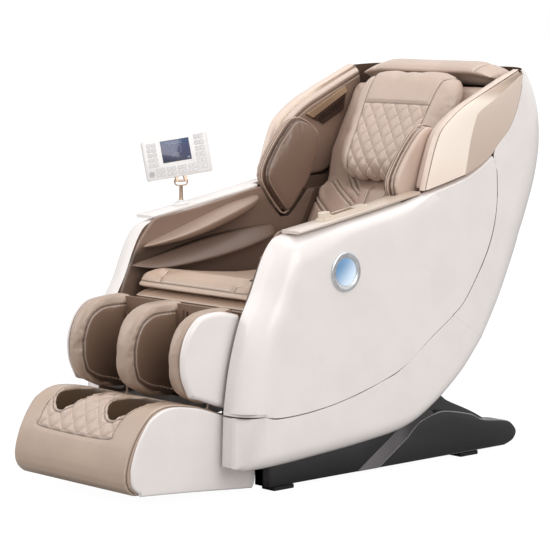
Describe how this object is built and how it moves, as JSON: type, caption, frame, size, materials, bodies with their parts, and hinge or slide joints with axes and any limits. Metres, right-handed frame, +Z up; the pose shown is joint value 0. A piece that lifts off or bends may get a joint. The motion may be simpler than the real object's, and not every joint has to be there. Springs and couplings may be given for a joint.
{
  "type": "massage chair",
  "caption": "Reclining massage chair: tilting cabin on a sled base, calf and foot unit, shoulder and arm air pads, back roller carriage, arm dial and remote on a post.",
  "frame": {"origin": "on the floor, under the middle of the object's box", "axes": "+Z up, the chair faces -Y, the sitter's left is +X"},
  "size_m": [0.7429, 1.5453, 1.15],
  "materials": {
    "base_plastic": "satin dark grey",
    "base_silver": "satin silver",
    "frame_steel": "powder coat",
    "foot_rubber": "matte",
    "switch_plastic": "gloss black",
    "motor_housing": "satin",
    "bright_steel": "brushed",
    "board_wood": "raw",
    "white_shell": "gloss white",
    "champagne_shell": "gloss champagne",
    "taupe_leather": "soft sheen",
    "beige_leather": "soft sheen",
    "pad_leather": "soft sheen",
    "channel_leather": "soft",
    "speaker_grille": "fine grille",
    "roller_plastic": "satin",
    "console_gold": "satin gold",
    "key_bronze": "gloss",
    "lamp_ring": "polished ring round a pale blue lens",
    "remote_white": "gloss white with a dark screen",
    "remote_silver": "satin"
  },
  "bodies": {
    "base": {"base_side_left": "base_plastic", "base_side_right": "base_plastic", "base_trims": "base_silver", "cross_tubes": "frame_steel", "feet": "foot_rubber", "power_box": "base_plastic"},
    "switch": {"power_switch": "switch_plastic"},
    "cabin": {"cabin_frame": "frame_steel", "seat_board": "board_wood", "leg_motor": "motor_housing", "side_panel_left": "white_shell", "side_panel_right": "white_shell", "rear_shell": "white_shell", "wing_left": "champagne_shell", "wing_right": "champagne_shell", "wing_liner_left": "taupe_leather", "wing_liner_right": "taupe_leather", "speakers": "speaker_grille", "arm_cap_left": "champagne_shell", "arm_cap_right": "champagne_shell", "arm_liner_left": "taupe_leather", "arm_liner_right": "taupe_leather", "arm_flap_left": "taupe_leather", "arm_flap_right": "taupe_leather", "seat_cushion": "beige_leather", "seat_apron": "beige_leather", "back_cushion": "taupe_leather", "head_pillow": "beige_leather", "crown_cover": "beige_leather", "control_bar": "console_gold", "side_lamp": "lamp_ring", "remote_foot": "white_shell"},
    "tilt_motor": {"tilt_motor": "motor_housing"},
    "tilt_rod": {"tilt_rod": "bright_steel"},
    "calf_unit": {"calf_core": "channel_leather", "calf_shell_left": "white_shell", "calf_shell_right": "white_shell", "calf_pad_left": "pad_leather", "calf_pad_mid": "pad_leather", "calf_pad_right": "pad_leather"},
    "foot_unit": {"foot_cover": "beige_leather", "foot_cheeks": "white_shell"},
    "sole_rollers": {"sole_rollers": "roller_plastic"},
    "pad_left": {"shoulder_pad_left": "pad_leather"},
    "pad_right": {"shoulder_pad_right": "pad_leather"},
    "bellows_left": {"shoulder_leaf_left": "pad_leather"},
    "bellows_right": {"shoulder_leaf_right": "pad_leather"},
    "carriage": {"carriage": "frame_steel"},
    "knead_shaft": {"knead_shaft": "bright_steel"},
    "rocker_left": {"roller_arm_left": "roller_plastic"},
    "rocker_right": {"roller_arm_right": "roller_plastic"},
    "roller_upper_left": {"roller_upper_left": "roller_plastic"},
    "roller_lower_left": {"roller_lower_left": "roller_plastic"},
    "roller_upper_right": {"roller_upper_right": "roller_plastic"},
    "roller_lower_right": {"roller_lower_right": "roller_plastic"},
    "dial": {"dial": "console_gold"},
    "rocker_key": {"rocker_key": "key_bronze"},
    "remote_post": {"remote_post": "console_gold"},
    "remote": {"remote_case": "remote_white"},
    "remote_key": {"remote_key": "remote_silver"}
  },
  "joints": [
    {"name": "switch_rock", "type": "hinge", "parent": "base", "child": "switch", "pos_m": [0.03, 0.5913, 0.055], "axis": [1, 0, 0], "range_deg": [-8, 8]},
    {"name": "cabin_tilt", "type": "hinge", "parent": "base", "child": "cabin", "pos_m": [0, 0.044, 0.25], "axis": [-1, 0, 0], "range_deg": [0, 22]},
    {"name": "tilt_motor_swing", "type": "hinge", "parent": "base", "child": "tilt_motor", "pos_m": [0, 0.23, 0.06], "axis": [-1, 0, 0], "range_deg": [0, 6.8]},
    {"name": "tilt_rod_stroke", "type": "slide", "parent": "tilt_motor", "child": "tilt_rod", "axis": [0, -0.0885, -0.9961], "range_m": [0, 0.0825]},
    {"name": "calf_swing", "type": "hinge", "parent": "cabin", "child": "calf_unit", "pos_m": [0, -0.391, 0.47], "axis": [-1, 0, 0], "range_deg": [0, 75]},
    {"name": "foot_extend", "type": "slide", "parent": "calf_unit", "child": "foot_unit", "axis": [0, 0, -1], "range_m": [0, 0.12]},
    {"name": "sole_roller_spin", "type": "hinge", "parent": "foot_unit", "child": "sole_rollers", "pos_m": [0, -0.616, 0.135], "axis": [1, 0, 0], "continuous": true},
    {"name": "pad_squeeze_left", "type": "hinge", "parent": "cabin", "child": "pad_left", "pos_m": [0.299, 0.405, 0.84], "axis": [0, 0, -1], "range_deg": [0, 12]},
    {"name": "pad_squeeze_right", "type": "hinge", "parent": "cabin", "child": "pad_right", "pos_m": [-0.299, 0.405, 0.84], "axis": [0, 0, 1], "range_deg": [0, 12]},
    {"name": "bellows_open_left", "type": "hinge", "parent": "cabin", "child": "bellows_left", "pos_m": [0.299, 0.405, 0.84], "axis": [0, 0, -1], "range_deg": [0, 6.1]},
    {"name": "bellows_open_right", "type": "hinge", "parent": "cabin", "child": "bellows_right", "pos_m": [-0.299, 0.405, 0.84], "axis": [0, 0, 1], "range_deg": [0, 6.1]},
    {"name": "carriage_travel", "type": "slide", "parent": "cabin", "child": "carriage", "axis": [0, 0.4695, 0.8829], "range_m": [0, 0.3]},
    {"name": "knead_spin", "type": "hinge", "parent": "carriage", "child": "knead_shaft", "pos_m": [0, 0.42015, 0.62005], "axis": [1, 0, 0], "continuous": true},
    {"name": "roller_rock_left", "type": "hinge", "parent": "carriage", "child": "rocker_left", "pos_m": [0, 0.42015, 0.62005], "axis": [1, 0, 0], "range_deg": [-4, 4]},
    {"name": "roller_rock_right", "type": "hinge", "parent": "carriage", "child": "rocker_right", "pos_m": [0, 0.42015, 0.62005], "axis": [1, 0, 0], "range_deg": [-4, 4]},
    {"name": "upper_spin_left", "type": "hinge", "parent": "rocker_left", "child": "roller_upper_left", "pos_m": [0.07, 0.46357, 0.71022], "axis": [1, 0, 0], "continuous": true},
    {"name": "lower_spin_left", "type": "hinge", "parent": "rocker_left", "child": "roller_lower_left", "pos_m": [0.07, 0.36967, 0.53363], "axis": [1, 0, 0], "continuous": true},
    {"name": "upper_spin_right", "type": "hinge", "parent": "rocker_right", "child": "roller_upper_right", "pos_m": [-0.07, 0.46357, 0.71022], "axis": [1, 0, 0], "continuous": true},
    {"name": "lower_spin_right", "type": "hinge", "parent": "rocker_right", "child": "roller_lower_right", "pos_m": [-0.07, 0.36967, 0.53363], "axis": [1, 0, 0], "continuous": true},
    {"name": "dial_turn", "type": "hinge", "parent": "cabin", "child": "dial", "pos_m": [0.3103, -0.116, 0.73649], "axis": [0, -0.1681, 0.9858], "continuous": true},
    {"name": "key_rock", "type": "hinge", "parent": "cabin", "child": "rocker_key", "pos_m": [0.3103, -0.05008, 0.75443], "axis": [1, 0, 0], "range_deg": [-3, 3], "stiffness_Nm_per_rad": 0.05},
    {"name": "post_swivel", "type": "hinge", "parent": "cabin", "child": "remote_post", "pos_m": [-0.3103, -0.104, 0.76], "axis": [0, 0, 1], "range_deg": [-60, 60]},
    {"name": "remote_tilt", "type": "hinge", "parent": "remote_post", "child": "remote", "pos_m": [-0.3103, -0.104, 0.80753], "axis": [0.342, 0.9397, 0], "range_deg": [-15, 15]},
    {"name": "remote_key_press", "type": "slide", "parent": "remote", "child": "remote_key", "axis": [-0.9305, 0.3387, -0.1392], "range_m": [0, 0.0015], "stiffness_N_per_m": 60}
  ],
  "couplings": [
    {"joint": "tilt_motor_swing", "follows": "cabin_tilt", "ratio": 0.305},
    {"joint": "tilt_rod_stroke", "follows": "cabin_tilt", "m_per_rad": 0.2135},
    {"joint": "bellows_open_left", "follows": "pad_squeeze_left", "ratio": 0.5},
    {"joint": "bellows_open_right", "follows": "pad_squeeze_right", "ratio": 0.5}
  ]
}
